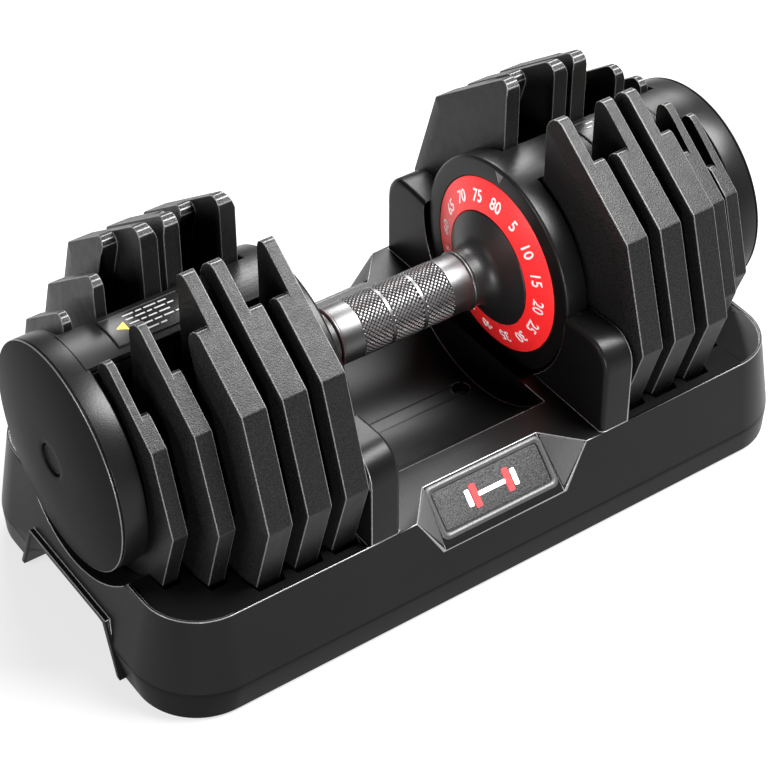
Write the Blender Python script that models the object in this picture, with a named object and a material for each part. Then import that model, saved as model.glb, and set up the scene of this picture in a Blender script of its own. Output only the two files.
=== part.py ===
"""Adjustable dumbbell in its storage tray. Metres, +Z up, +X along the handle, -Y to the front."""

import math

import bmesh
import bpy

MM = 0.001
SIDES = (("left", -1), ("right", 1))
ENDS = (("front", -1), ("rear", 1))

# Height of the handle axis over the ground, and the clearance between neighbouring solids.
AXIS_Z = 122.2 * MM
GAP = 0.3 * MM

# Tray outline: half length, half width, corner radius and height of each ring.
TRAY_BOTTOM = (220.1 * MM, 111.5 * MM, 38.6 * MM, 1.0 * MM)
TRAY_CREASE = (222.0 * MM, 114.2 * MM, 45.0 * MM, 20.0 * MM)
TRAY_RIM = (212.5 * MM, 107.1 * MM, 35.3 * MM, 69.4 * MM)
LIP = 1.6 * MM
DECK_DROP = 1.0 * MM
SCOOP_R = 85.0 * MM
SCOOP_HALF = 60.5 * MM
SADDLE_R = 68.3 * MM
SADDLE_IN = 70.2 * MM
SADDLE_OUT = 90.6 * MM
BLOCK_OUT = 90.0 * MM
DECK_IN = 90.4 * MM
TROUGH_R = 77.0 * MM
TROUGH_IN = 89.5 * MM
PAST_END = 235.0 * MM
BLOCK_EDGE = ((67.0, 5.0), (89.0, 6.7), (98.5, 4.1), (104.0, -1.5), (107.0, -11.0), (107.0, -60.0))
UNDER_PLAN = (211.0 * MM, 105.5 * MM, 75.0 * MM)
UNDER_LOW = -5.0 * MM
UNDER_TOP = 22.9 * MM
MIDDLE_X, MIDDLE_Y, MIDDLE_TOP = 40.0 * MM, 66.0 * MM, 33.0 * MM
PAD_R = 9.0 * MM
PAD_AT = (200.5 * MM, 91.5 * MM)
SCREW_X = 50.0 * MM

# Badge recess in the long walls: the slope starts at the platform and runs down to the wall.
BADGE_HALF = 40.0 * MM
BADGE_TOP = (86.0 * MM, -54.0 * MM)
BADGE_LOW = (107.5 * MM, -76.0 * MM)

# Plates from the handle outwards: outboard rim x, rim thickness, how far the faces stand proud,
# outline (widest y, z, shoulder y, z, top slope, lower slope, bottom z), prong side and edge of
# the pocket (x where the prong ends), y where the pocket starts on the top slope.
LARGE = (110.7, -4.5, 89.7, 60.8, 0.73, 0.30, -95.0)
PLATES = (
    (108.1, 14.6, 3.0, LARGE, 1, 100.5, 39.5),
    (132.0, 14.9, 3.0, LARGE, -1, 125.0, 39.5),
    (156.3, 14.8, 3.0, LARGE, 1, 149.0, 39.5),
    (177.0, 10.25, 2.0, (95.2, -6.1, 76.9, 49.1, 0.75, 0.306, -83.0), -1, 172.0, 39.0),
    (196.9, 9.1, 1.5, (82.2, -8.4, 66.8, 40.3, 0.77, 0.35, -75.0), -1, 192.4, 40.5),
)
CHAMFER_RUN = 10.7
POCKET_DEPTH = 30.0
SLOT_HALF = 18.3
WELL_GAP = 0.7
WELL_END = 4.0

# Handle.
AXLE_R = 8.0 * MM
AXLE_HALF = 213.5 * MM
GRIP_HALF = 46.8 * MM
HUB_R = 35.7 * MM
HUB_X = 67.2 * MM
RING_OUT_R = 55.0 * MM
FACE_X = 73.0 * MM
SELECTOR_R = 41.5 * MM
SELECTOR_IN_R = 35.6 * MM
SELECTOR_HUB_R = 13.5 * MM
# Ends of the selector hubs along the axle.
HUB_EDGES = (88.6, 109.35, 136.65, 157.35, 179.65, 201.5)
LUG_LENGTH = 5.0
LUG = ((-5.0, -34.4), (5.0, -34.4), (5.0, -27.0), (-5.0, -27.0))
STEP = math.radians(22.5)

# Housing at each end of the handle.
FLANGE_R = 67.5 * MM
FLANGE_OUT = 88.1 * MM
SPINE_HALF = 16.5 * MM
SPINE_X = (86.0 * MM, 204.0 * MM)
LABEL_X = (133.0 * MM, 182.0 * MM)
RING_X = (202.0 * MM, 216.3 * MM)
CAP_X = (216.6 * MM, 222.6 * MM)
CAP_R = 67.0 * MM
PLUG_R = 9.4 * MM
PIN_X = 81.0 * MM
PIN_R = 3.0 * MM


def clear_scene():
    for obj in list(bpy.data.objects):
        bpy.data.objects.remove(obj, do_unlink=True)


def material(name, color, roughness, metallic=0.0):
    made = bpy.data.materials.new(name)
    made.use_nodes = True
    shader = made.node_tree.nodes["Principled BSDF"]
    shader.inputs["Base Color"].default_value = (*color, 1.0)
    shader.inputs["Roughness"].default_value = roughness
    shader.inputs["Metallic"].default_value = metallic
    return made


def solid(name, points, faces, look=None):
    """One mesh object from points and faces, with its faces turned outwards."""
    mesh = bpy.data.meshes.new(name)
    mesh.from_pydata([tuple(p) for p in points], [], faces)
    work = bmesh.new()
    work.from_mesh(mesh)
    bmesh.ops.recalc_face_normals(work, faces=work.faces)
    work.to_mesh(mesh)
    work.free()
    obj = bpy.data.objects.new(name, mesh)
    bpy.context.scene.collection.objects.link(obj)
    if look:
        mesh.materials.append(look)
    else:
        obj.hide_render = True
        obj.display_type = "WIRE"
    return obj


def combine(target, other, operation="DIFFERENCE"):
    change = target.modifiers.new(other.name, "BOOLEAN")
    change.operation = operation
    change.solver = "EXACT"
    change.object = other


def lofted(rings):
    """Points and faces of a closed loft through rings of equal length."""
    count = len(rings[0])
    points = [p for ring in rings for p in ring]
    faces = []
    for r in range(len(rings) - 1):
        for i in range(count):
            j = (i + 1) % count
            faces.append((r * count + i, r * count + j, (r + 1) * count + j, (r + 1) * count + i))
    faces.append(tuple(range(count))[::-1])
    faces.append(tuple((len(rings) - 1) * count + i for i in range(count)))
    return points, faces


def loft(name, rings, look=None):
    return solid(name, *lofted(rings), look)


def bar(name, outline, x0, x1, look=None):
    """A (y, z) outline, z from the handle axis, drawn out along X."""
    rings = [[(x, y, AXIS_Z + z) for y, z in outline] for x in (x0, x1)]
    return loft(name, rings, look)


def several(name, shapes, look=None):
    """One object from several separate (points, faces) shapes."""
    points, faces = [], []
    for some_points, some_faces in shapes:
        start = len(points)
        points += some_points
        faces += [tuple(start + i for i in face) for face in some_faces]
    return solid(name, points, faces, look)


def box(name, low, high, look=None):
    corners = [(low[0], low[1]), (high[0], low[1]), (high[0], high[1]), (low[0], high[1])]
    return loft(name, [[(x, y, z) for x, y in corners] for z in (low[2], high[2])], look)


def hull(name, points, look=None):
    work = bmesh.new()
    for point in points:
        work.verts.new(point)
    bmesh.ops.convex_hull(work, input=work.verts)
    work.verts.ensure_lookup_table()
    work.verts.index_update()
    corners = [tuple(v.co) for v in work.verts]
    faces = [tuple(v.index for v in f.verts) for f in work.faces]
    work.free()
    return solid(name, corners, faces, look)


def turned(name, profile, look=None, side=1, count=40):
    """A closed (x, r) profile turned round the handle axis. A point with r = 0 lies on the axis."""
    points, rows, faces = [], [], []
    for x, r in profile:
        if r == 0:
            rows.append([len(points)] * count)
            points.append((side * x, 0.0, AXIS_Z))
            continue
        rows.append(list(range(len(points), len(points) + count)))
        for i in range(count):
            a = 2 * math.pi * i / count
            points.append((side * x, r * math.cos(a), AXIS_Z + r * math.sin(a)))
    for r, row in enumerate(rows):
        after = rows[(r + 1) % len(rows)]
        if profile[r][1] == 0 and profile[(r + 1) % len(rows)][1] == 0:
            continue
        for i in range(count):
            j = (i + 1) % count
            corners = []
            for v in (row[i], row[j], after[j], after[i]):
                if v not in corners:
                    corners.append(v)
            faces.append(tuple(corners))
    return solid(name, points, faces, look)


def upright(name, at, radius, low, high, look=None, count=24):
    """A cylinder along Z."""
    rings = []
    for z in (low, high):
        turn = [2 * math.pi * i / count for i in range(count)]
        rings.append([(at[0] + radius * math.cos(a), at[1] + radius * math.sin(a), z) for a in turn])
    return loft(name, rings, look)


def rounded_rectangle(half_x, half_y, radius, z, steps=7):
    """One ring of a rounded rectangle, counterclockwise from the +X +Y corner."""
    ring = []
    for quarter, (sx, sy) in enumerate(((1, 1), (-1, 1), (-1, -1), (1, -1))):
        for i in range(steps + 1):
            a = math.pi / 2 * (quarter + i / steps)
            x = sx * (half_x - radius) + radius * math.cos(a)
            y = sy * (half_y - radius) + radius * math.sin(a)
            ring.append((x, y, z))
    return ring


def fillet(before, corner, after, radius, steps=4):
    """Points of the arc that rounds one corner of an outline."""
    ways = []
    for other in (before, after):
        length = math.dist(other, corner)
        ways.append(((other[0] - corner[0]) / length, (other[1] - corner[1]) / length))
    (ax, ay), (bx, by) = ways
    half = math.acos(max(-1.0, min(1.0, ax * bx + ay * by))) / 2
    reach = radius / math.tan(half)
    mid = math.hypot(ax + bx, ay + by)
    far = radius / math.sin(half)
    centre = (corner[0] + far * (ax + bx) / mid, corner[1] + far * (ay + by) / mid)
    start = math.atan2(corner[1] + reach * ay - centre[1], corner[0] + reach * ax - centre[0])
    end = math.atan2(corner[1] + reach * by - centre[1], corner[0] + reach * bx - centre[0])
    sweep = (end - start + math.pi) % (2 * math.pi) - math.pi
    arc = []
    for i in range(steps + 1):
        a = start + sweep * i / steps
        arc.append((centre[0] + radius * math.cos(a), centre[1] + radius * math.sin(a)))
    return arc


def rounded(outline, radii, steps=2):
    made = []
    for i, corner in enumerate(outline):
        after = outline[(i + 1) % len(outline)]
        made += fillet(outline[i - 1], corner, after, radii[i], steps)
    return made


def inset(outline, distance):
    """The outline moved inwards by a distance. The outline runs counterclockwise."""
    lines = []
    for i, (y0, z0) in enumerate(outline):
        y1, z1 = outline[(i + 1) % len(outline)]
        length = math.dist((y0, z0), (y1, z1))
        ny, nz = -(z1 - z0) / length, (y1 - y0) / length
        lines.append((ny, nz, ny * y0 + nz * z0 + distance))
    made = []
    for i, (a, b, c) in enumerate(lines):
        p, q, r = lines[i - 1]
        det = a * q - b * p
        made.append(((c * q - b * r) / det, (a * r - c * p) / det))
    return made


def metres(outline):
    return [(y * MM, z * MM) for y, z in outline]


def both_halves(half):
    """A whole (y, z) outline from its +Y half, given from one end to the other."""
    return list(half) + [(-y, z) for y, z in reversed(half)]


clear_scene()

tray_black = material("tray_plastic", (0.016, 0.016, 0.016), 0.34)
bezel_grey = material("bezel_plastic", (0.06, 0.06, 0.062), 0.7)
panel_dark = material("panel_plastic", (0.022, 0.022, 0.023), 0.45)
pad_rubber = material("pad_rubber", (0.03, 0.03, 0.03), 0.9)
screw_steel = material("screw_steel", (0.35, 0.35, 0.36), 0.4, 1.0)
plate_paint = material("plate_paint", (0.045, 0.045, 0.047), 0.5, 0.3)
housing_black = material("housing_plastic", (0.02, 0.02, 0.021), 0.45)
label_black = material("label_plastic", (0.014, 0.014, 0.014), 0.25)
collar_black = material("collar_plastic", (0.02, 0.02, 0.02), 0.4)
dial_red = material("dial_plastic", (0.9, 0.035, 0.03), 0.4)
grip_chrome = material("grip_chrome", (0.8, 0.8, 0.81), 0.16, 1.0)
axle_steel = material("axle_steel", (0.5, 0.5, 0.5), 0.35, 1.0)
selector_nylon = material("selector_plastic", (0.1, 0.1, 0.1), 0.5)


# The tray: a lofted body with the trough, blocks, saddle, scoop, wells and badge recesses cut in.
tray_rings = [rounded_rectangle(*ring) for ring in (TRAY_BOTTOM, TRAY_CREASE, TRAY_RIM)]
tray = loft("tray_shell", tray_rings, tray_black)

for side, sign in SIDES:
    trough = turned(
        f"cut_trough_{side}",
        ((TROUGH_IN, 0), (TROUGH_IN, TROUGH_R), (PAST_END, TROUGH_R), (PAST_END, 0)),
        side=sign,
        count=48,
    )
    combine(tray, trough)
    outline = both_halves(metres(BLOCK_EDGE))
    blocks = bar(f"add_blocks_{side}", outline, sign * SADDLE_IN, sign * BLOCK_OUT)
    combine(tray, blocks, "UNION")
    saddle = turned(
        f"cut_saddle_{side}",
        ((SADDLE_IN, 0), (SADDLE_IN, SADDLE_R), (SADDLE_OUT, SADDLE_R), (SADDLE_OUT, 0)),
        side=sign,
        count=48,
    )
    combine(tray, saddle)

scoop = turned(
    "cut_scoop",
    ((-SCOOP_HALF, 0), (-SCOOP_HALF, SCOOP_R), (SCOOP_HALF, SCOOP_R), (SCOOP_HALF, 0)),
    count=48,
)
combine(tray, scoop)


def deck_ring(sign, z):
    """Plan of one deck, inside the lip: square next to the blocks, round at the outer corners."""
    x_in, x_out = DECK_IN, TRAY_RIM[0] - LIP
    half_y, radius = TRAY_RIM[1] - LIP, TRAY_RIM[2] - LIP
    plan = [(x_in, -half_y)]
    for quarter, sy in ((3, -1), (0, 1)):
        for i in range(8):
            a = math.pi / 2 * (quarter + i / 7)
            y = sy * (half_y - radius) + radius * math.sin(a)
            plan.append((x_out - radius + radius * math.cos(a), y))
    plan.append((x_in, half_y))
    return [(sign * x, y, z) for x, y in plan]


def plate_half_width(shape, z):
    return shape[0] - shape[5] * (shape[1] - z)


DECK_Z = TRAY_RIM[3] - DECK_DROP
CLEAR_Z = DECK_Z + 20 * MM
WELL_RIM_Z = -53.8
for side, sign in SIDES:
    deck = loft(f"cut_deck_{side}", [deck_ring(sign, z) for z in (DECK_Z, CLEAR_Z)])
    combine(tray, deck)
    wells = []
    for rim_x, thick, proud, shape, _, _, _ in PLATES:
        end = plate_half_width(shape, WELL_RIM_Z) + WELL_END
        turn = end - CHAMFER_RUN
        x_low = rim_x - thick - WELL_GAP
        x_high = rim_x + WELL_GAP
        wide_low = max(x_low - proud, BLOCK_OUT / MM + 0.2)
        wide_high = x_high + proud
        plan = [(x_low, -end), (x_high, -end), (wide_high, -turn), (wide_high, turn)]
        plan += [(x_high, end), (x_low, end), (wide_low, turn), (wide_low, -turn)]
        floor = AXIS_Z + shape[6] * MM - GAP
        rings = [[(sign * x * MM, y * MM, z) for x, y in plan] for z in (floor, CLEAR_Z)]
        wells.append(lofted(rings))
    combine(tray, several(f"cut_wells_{side}", wells))

# Hollow underside: shallow under the wells, deeper under the middle of the scoop.
under = [rounded_rectangle(*UNDER_PLAN, z) for z in (UNDER_LOW, UNDER_TOP)]
combine(tray, loft("cut_underside", under))
combine(tray, box("cut_middle", (-MIDDLE_X, -MIDDLE_Y, 10 * MM), (MIDDLE_X, MIDDLE_Y, MIDDLE_TOP)))

# Frame round the finger notch in each end wall: (y, z, x) at the top and at the foot.
FRAME_TOP = (43.3, 35.7, 222.2)
FRAME_FOOT = (56.8, 1.02, 223.5)
FRAME_WIDTH = 3.3
FRAME_DEPTH = 8.0


def trapezoid_block(name, sign, top, foot, low_z, near, far):
    """Block over the frame's trapezoid, carried on down to low_z, between two x offsets."""
    (top_y, top_z, top_x), (foot_y, foot_z, foot_x) = top, foot
    share = (top_z - low_z) / (top_z - foot_z)
    low_y = top_y + (foot_y - top_y) * share
    low_x = top_x + (foot_x - top_x) * share
    corners = []
    for y, z, x in ((top_y, top_z, top_x), (low_y, low_z, low_x)):
        for mirror in (-1, 1):
            corners += [(sign * (x + d) * MM, mirror * y * MM, z * MM) for d in (near, far)]
    return hull(name, corners)


for side, sign in SIDES:
    frame = trapezoid_block(
        f"add_frame_{side}", sign, FRAME_TOP, FRAME_FOOT, FRAME_FOOT[1], -FRAME_DEPTH, 0.0
    )
    combine(tray, frame, "UNION")
    inner_top = (FRAME_TOP[0] - FRAME_WIDTH, FRAME_TOP[1] - FRAME_WIDTH, FRAME_TOP[2])
    inner_foot = (FRAME_FOOT[0] - FRAME_WIDTH, FRAME_FOOT[1], FRAME_FOOT[2])
    notch = trapezoid_block(f"cut_notch_{side}", sign, inner_top, inner_foot, -4.0, -24.0, 14.0)
    combine(tray, notch)

# Slope of the badge recess: s runs down the slope, n stands out of it.
slope_length = math.dist(BADGE_TOP, BADGE_LOW)
slope_s = tuple((low - top) / slope_length for low, top in zip(BADGE_LOW, BADGE_TOP))
slope_n = (-slope_s[1], slope_s[0])


def on_slope(sign, x, s, n):
    y = BADGE_TOP[0] + s * slope_s[0] + n * slope_n[0]
    z = BADGE_TOP[1] + s * slope_s[1] + n * slope_n[1]
    return (x, sign * y, AXIS_Z + z)


def slope_block(name, sign, half_x, s_range, n_range, look=None):
    low, high = s_range
    plan = ((-half_x, low), (half_x, low), (half_x, high), (-half_x, high))
    return loft(name, [[on_slope(sign, x, s, n) for x, s in plan] for n in n_range], look)


# Badge seat, frame, pocket and panel: half width, range down the slope, range out of it.
SEAT = (39.8 * MM, (0.7 * MM, 30.1 * MM), (-3.0 * MM, 8.0 * MM))
BEZEL = (39.5 * MM, (1.0 * MM, 29.8 * MM), (-2.7 * MM, 0.6 * MM))
POCKET = (37.5 * MM, (3.0 * MM, 27.8 * MM), (-1.0 * MM, 8.0 * MM))
PANEL = (37.2 * MM, (3.3 * MM, 27.5 * MM), (-0.7 * MM, 0.1 * MM))
# Two points on the recess floor's side edge, and the way its cheek leans out from them.
RECESS_EDGE = ((39.6, 81.4, -49.2), (42.4, 113.6, -82.8))
CHEEK_LEAN = (48.0, 52.5, 3.0)

for end, sign in ENDS:
    corners = []
    for mirror in (-1, 1):
        for x, y, z in RECESS_EDGE:
            corners.append((mirror * x * MM, sign * y * MM, AXIS_Z + z * MM))
            far_x, far_y, far_z = x + CHEEK_LEAN[0], y + CHEEK_LEAN[1], z + CHEEK_LEAN[2]
            corners.append((mirror * far_x * MM, sign * far_y * MM, AXIS_Z + far_z * MM))
    combine(tray, hull(f"cut_badge_{end}", corners))
    combine(tray, slope_block(f"cut_seat_{end}", sign, *SEAT))
    bezel = slope_block(f"badge_bezel_{end}", sign, *BEZEL, bezel_grey)
    combine(bezel, slope_block(f"cut_panel_{end}", sign, *POCKET))
    slope_block(f"badge_panel_{end}", sign, *PANEL, panel_dark)

for side, sign in SIDES:
    screw_x = sign * SCREW_X
    hole_z, head_z, slot_z = 28.6 * MM, (28.9 * MM, 32.0 * MM), (30.8 * MM, 34.0 * MM)
    combine(tray, upright(f"cut_screw_{side}", (screw_x, 0.0), 5.8 * MM, hole_z, 60 * MM))
    screw = upright(f"tray_screw_{side}", (screw_x, 0.0), 5.0 * MM, *head_z, screw_steel)
    slot_low = (screw_x - 3 * MM, -0.6 * MM, slot_z[0])
    slot_high = (screw_x + 3 * MM, 0.6 * MM, slot_z[1])
    combine(screw, box(f"cut_cross_{side}", slot_low, slot_high))
    for end, way in ENDS:
        at = (sign * PAD_AT[0], way * PAD_AT[1])
        seat = upright(f"cut_pad_{side}_{end}", at, PAD_R + GAP, -1 * MM, 2.8 * MM)
        combine(tray, seat)
        upright(f"foot_pad_{side}_{end}", at, PAD_R, 0.0, 2.5 * MM, pad_rubber)


# Plates: a chamfered slab, open from the top down to the axle, thinned on one side.
def plate_outline(shape):
    wide_y, wide_z, top_y, top_z, slope, lower, bottom = shape
    peak = (0.0, top_z + slope * top_y)
    foot_y = wide_y - lower * (wide_z - bottom)
    half = [(foot_y, bottom), (wide_y, wide_z), (top_y, top_z)]
    return half + [peak] + [(-y, z) for y, z in reversed(half)]


def slot_outline(shape):
    """Open U round the axle, flared at the top to round the tips of the prongs."""
    slope = shape[4]
    peak_z = shape[3] + slope * shape[2]
    corner = (SLOT_HALF, peak_z - slope * SLOT_HALF)
    flare = fillet((SLOT_HALF, 0.0), corner, (shape[2], shape[3]), 6.0, 4)
    half = []
    for i in range(9):
        a = -math.pi / 2 + math.pi / 2 * i / 8
        half.append((SLOT_HALF * math.cos(a), SLOT_HALF * math.sin(a)))
    half += flare
    half.append((flare[-1][0] + 3.0, peak_z + 20.0))
    return half + [(-y, z) for y, z in reversed(half[1:])]


def pocket_outline(shape, step_y):
    """Thinned middle of the plate: open at the top, round the selector disc at the bottom."""
    slope = shape[4]
    step = (step_y, shape[3] + slope * (shape[2] - step_y))
    low_z = shape[3] / 2
    low = (step_y + 0.32 * (step[1] - low_z), low_z)
    flare = fillet(low, step, (shape[2], shape[3]), 5.0, 4)
    half = [(28.0, -45.5), (42.0, -33.0), (50.0, -8.0), low]
    half += flare
    half.append((flare[-1][0] + 3.0, step[1] + 60.0))
    return both_halves(half)


for side, sign in SIDES:
    for number, (rim_x, thick, proud, shape, prong, web_x, step_y) in enumerate(PLATES, 1):
        outline = plate_outline(shape)
        radii = (4.0, 3.0, 3.0, 1.0, 3.0, 3.0, 4.0)
        rim = rounded(outline, radii)
        face = rounded(inset(outline, CHAMFER_RUN), radii)
        layers = (
            (face, rim_x - thick - proud),
            (rim, rim_x - thick),
            (rim, rim_x),
            (face, rim_x + proud),
        )
        rings = []
        for ring, x in layers:
            rings.append([(sign * x * MM, y * MM, AXIS_Z + z * MM) for y, z in ring])
        plate = loft(f"plate_{number}_{side}", rings, plate_paint)
        slot = metres(slot_outline(shape))
        through = (sign * SADDLE_IN, sign * PAST_END)
        combine(plate, bar(f"cut_slot_{number}_{side}", slot, *through))
        pocket = metres(pocket_outline(shape, step_y))
        depth = (sign * web_x * MM, sign * (web_x + prong * POCKET_DEPTH) * MM)
        combine(plate, bar(f"cut_pocket_{number}_{side}", pocket, *depth))
        # The lug that the selector disc carries.
        length = (sign * (web_x - prong) * MM, sign * (web_x + prong * LUG_LENGTH) * MM)
        combine(plate, bar(f"add_lug_{number}_{side}", metres(LUG), *length), "UNION")


# Housing: inboard flange, spine bar over the axle and outer ring, in one piece.
def spine_outline():
    top = []
    for i in range(9):
        a = math.radians(14.15) * (1 - i / 4)
        top.append((FLANGE_R * math.sin(a), FLANGE_R * math.cos(a)))
    y = SPINE_HALF
    half = [(y, 54.0 * MM), (y, 61.0 * MM), (y - 1.8 * MM, 61.0 * MM), (y - 1.8 * MM, 62.6 * MM)]
    half.append((y, 62.6 * MM))
    return half + top + [(-a, b) for a, b in reversed(half)]


for side, sign in SIDES:
    housing = turned(
        f"housing_{side}",
        (
            (FACE_X + 0.5 * MM, 66.5 * MM),
            (FACE_X + 1.5 * MM, FLANGE_R),
            (FLANGE_OUT - 1.0 * MM, FLANGE_R),
            (FLANGE_OUT, 66.5 * MM),
            (FLANGE_OUT, AXLE_R + 0.5 * MM),
            (76.4 * MM, AXLE_R + 0.5 * MM),
            (76.4 * MM, RING_OUT_R + 0.4 * MM),
            (FACE_X, RING_OUT_R + 0.4 * MM),
            (FACE_X, 66.0 * MM),
        ),
        housing_black,
        side=sign,
        count=48,
    )
    ring = turned(
        f"add_ring_{side}",
        (
            (RING_X[0], 66.0 * MM),
            (RING_X[0] + 1.0 * MM, CAP_R),
            (RING_X[1], CAP_R),
            (RING_X[1], 15.0 * MM),
            (207.0 * MM, 15.0 * MM),
            (207.0 * MM, AXLE_R + 0.5 * MM),
            (RING_X[0], AXLE_R + 0.5 * MM),
        ),
        side=sign,
        count=48,
    )
    spine = bar(f"add_spine_{side}", spine_outline(), sign * SPINE_X[0], sign * SPINE_X[1])
    combine(housing, ring, "UNION")
    combine(housing, spine, "UNION")
    pin_at = (sign * PIN_X, 0.0)
    hole_z = (AXIS_Z - 72 * MM, AXIS_Z - 44 * MM)
    combine(housing, upright(f"cut_pin_{side}", pin_at, PIN_R + GAP, *hole_z))
    # The pin locks the dial when it drops: in the tray the saddle holds it up.
    pin_z = (AXIS_Z - 67.3 * MM, AXIS_Z - 57.0 * MM)
    upright(f"lock_pin_{side}", pin_at, PIN_R, *pin_z, axle_steel)
    arc = []
    for radius, turn in ((67.8 * MM, 1), (68.4 * MM, -1)):
        for i in range(7):
            a = math.radians(10.2) * turn * (1 - i / 3)
            arc.append((radius * math.sin(a), radius * math.cos(a)))
    bar(f"label_panel_{side}", arc, sign * LABEL_X[0], sign * LABEL_X[1], label_black)
    turned(
        f"end_cap_{side}",
        (
            (CAP_X[0], PLUG_R + 0.4 * MM),
            (CAP_X[0], CAP_R),
            (217.4 * MM, CAP_R),
            (218.0 * MM, 66.2 * MM),
            (219.8 * MM, 54.0 * MM),
            (221.2 * MM, 39.0 * MM),
            (222.2 * MM, 22.0 * MM),
            (CAP_X[1], PLUG_R + 0.4 * MM),
        ),
        housing_black,
        side=sign,
        count=48,
    )
    turned(
        f"end_plug_{side}",
        (
            (217.0 * MM, 0),
            (217.0 * MM, PLUG_R),
            (220.6 * MM, PLUG_R),
            (221.2 * MM, PLUG_R - 1.0 * MM),
            (221.2 * MM, 0),
        ),
        collar_black,
        side=sign,
        count=32,
    )
    # Coil spring over the pin, as a closed wire on a helix.
    wire, coil_r, coils = 0.35 * MM, 2.2 * MM, 4
    low, high = AXIS_Z - 56.3 * MM, AXIS_Z - 44.9 * MM
    rings = []
    steps = coils * 8
    for i in range(steps + 1):
        a = 2 * math.pi * i / 8
        z = low + (high - low) * i / steps
        centre = (sign * PIN_X + coil_r * math.cos(a), coil_r * math.sin(a))
        ring_points = []
        for k in range(4):
            b = 2 * math.pi * k / 4
            reach = wire * math.cos(b)
            x = centre[0] + reach * math.cos(a)
            y = centre[1] + reach * math.sin(a)
            ring_points.append((x, y, z + wire * math.sin(b)))
        rings.append(ring_points)
    loft(f"lock_spring_{side}", rings, screw_steel)


# Handle: everything that turns when the grip is twisted.
turned(
    "axle",
    ((-AXLE_HALF, 0), (-AXLE_HALF, AXLE_R), (AXLE_HALF, AXLE_R), (AXLE_HALF, 0)),
    axle_steel,
    count=32,
)
grip_profile = []
for x, r in ((46.8, 17.2), (46.3, 18.3), (45.2, 18.6), (44.1, 18.2), (43.8, 17.5)):
    grip_profile.append((x * MM, r * MM))
whole = [(GRIP_HALF, AXLE_R + GAP)] + grip_profile
whole += [(-x, r) for x, r in reversed(grip_profile)] + [(-GRIP_HALF, AXLE_R + GAP)]
turned("grip", whole, grip_chrome, count=40)

for side, sign in SIDES:
    flare = [(53.5 * MM, 16.3 * MM)]
    for i in range(1, 6):
        a = math.radians(72) * i / 5
        flare.append(((53.5 + 9.5 * math.sin(a)) * MM, (16.3 + 9.5 * (1 - math.cos(a))) * MM))
    turned(
        f"collar_{side}",
        [(47.1 * MM, AXLE_R + GAP), (47.1 * MM, 16.3 * MM)]
        + flare
        + [(HUB_X, HUB_R), (76.0 * MM, HUB_R), (76.0 * MM, AXLE_R + GAP)],
        collar_black,
        side=sign,
        count=40,
    )
    turned(
        f"dial_ring_{side}",
        (
            (HUB_X, HUB_R + GAP),
            (FACE_X - 0.2 * MM, RING_OUT_R),
            (76.0 * MM, RING_OUT_R),
            (76.0 * MM, HUB_R + GAP),
        ),
        dial_red,
        side=sign,
        count=48,
    )
    turned(
        f"end_nut_{side}",
        (
            (207.4 * MM, 9.6 * MM),
            (207.4 * MM, 14.0 * MM),
            (213.0 * MM, 14.0 * MM),
            (213.0 * MM, 9.6 * MM),
        ),
        screw_steel,
        side=sign,
        count=6,
    )


def carries(plate, setting):
    """Whether this plate is picked up at this setting, 0 for the lightest and 15 for the heaviest."""
    if plate == 5:
        return setting % 2 == 1
    if plate == 4:
        return setting // 2 % 2 == 1
    return setting // 4 >= plate


def sectors(plate):
    """Angles of the runs of sectors that carry the plate, each as (start, end)."""
    runs = []
    for setting in range(16):
        if not carries(plate, setting):
            continue
        middle = math.radians(270) - (15 - setting) * STEP
        if runs and carries(plate, setting - 1) and setting > 0:
            runs[-1][1] = middle + STEP / 2
        else:
            runs.append([middle - STEP / 2, middle + STEP / 2])
    return [(a + math.radians(1.0), b - math.radians(1.0)) for a, b in runs]


for side, sign in SIDES:
    for number, (_, _, _, _, prong, web_x, _) in enumerate(PLATES, 1):
        # The disc stands just past the end of the lug, and its rim reaches back over the lug.
        face_x = web_x + prong * (LUG_LENGTH + 0.7)
        back_x = face_x + prong * 2.0
        rim_end = web_x + prong * 0.7
        low_x, high_x = min(face_x, back_x), max(face_x, back_x)
        hub_low, hub_high = HUB_EDGES[number - 1] + 0.15, HUB_EDGES[number] - 0.15
        bore, hub, edge = AXLE_R + GAP, SELECTOR_HUB_R, SELECTOR_R
        profile = [(hub_low, bore), (hub_low, hub), (low_x, hub), (low_x, edge)]
        profile += [(high_x, edge), (high_x, hub), (hub_high, hub), (hub_high, bore)]
        profile = [(x * MM, r) for x, r in profile]
        disc = turned(f"selector_{number}_{side}", profile, selector_nylon, side=sign, count=24)
        pieces = []
        for start, end in sectors(number):
            steps = max(2, round((end - start) / math.radians(11.25)))
            rings = []
            for x in (rim_end, face_x + prong * 0.6):
                ring = []
                for radius, order in ((SELECTOR_IN_R, 1), (SELECTOR_R - GAP, -1)):
                    for i in range(steps + 1)[::order]:
                        a = start + (end - start) * i / steps
                        y, z = radius * math.cos(a), AXIS_Z + radius * math.sin(a)
                        ring.append((sign * x * MM, y, z))
                rings.append(ring)
            pieces.append(lofted(rings))
        combine(disc, several(f"add_rim_{number}_{side}", pieces), "UNION")
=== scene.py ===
"""Looks of the adjustable dumbbell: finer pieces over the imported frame, materials, lights and camera."""

import math

import bmesh
import bpy
import numpy as np
from mathutils import Matrix, Vector


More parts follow.
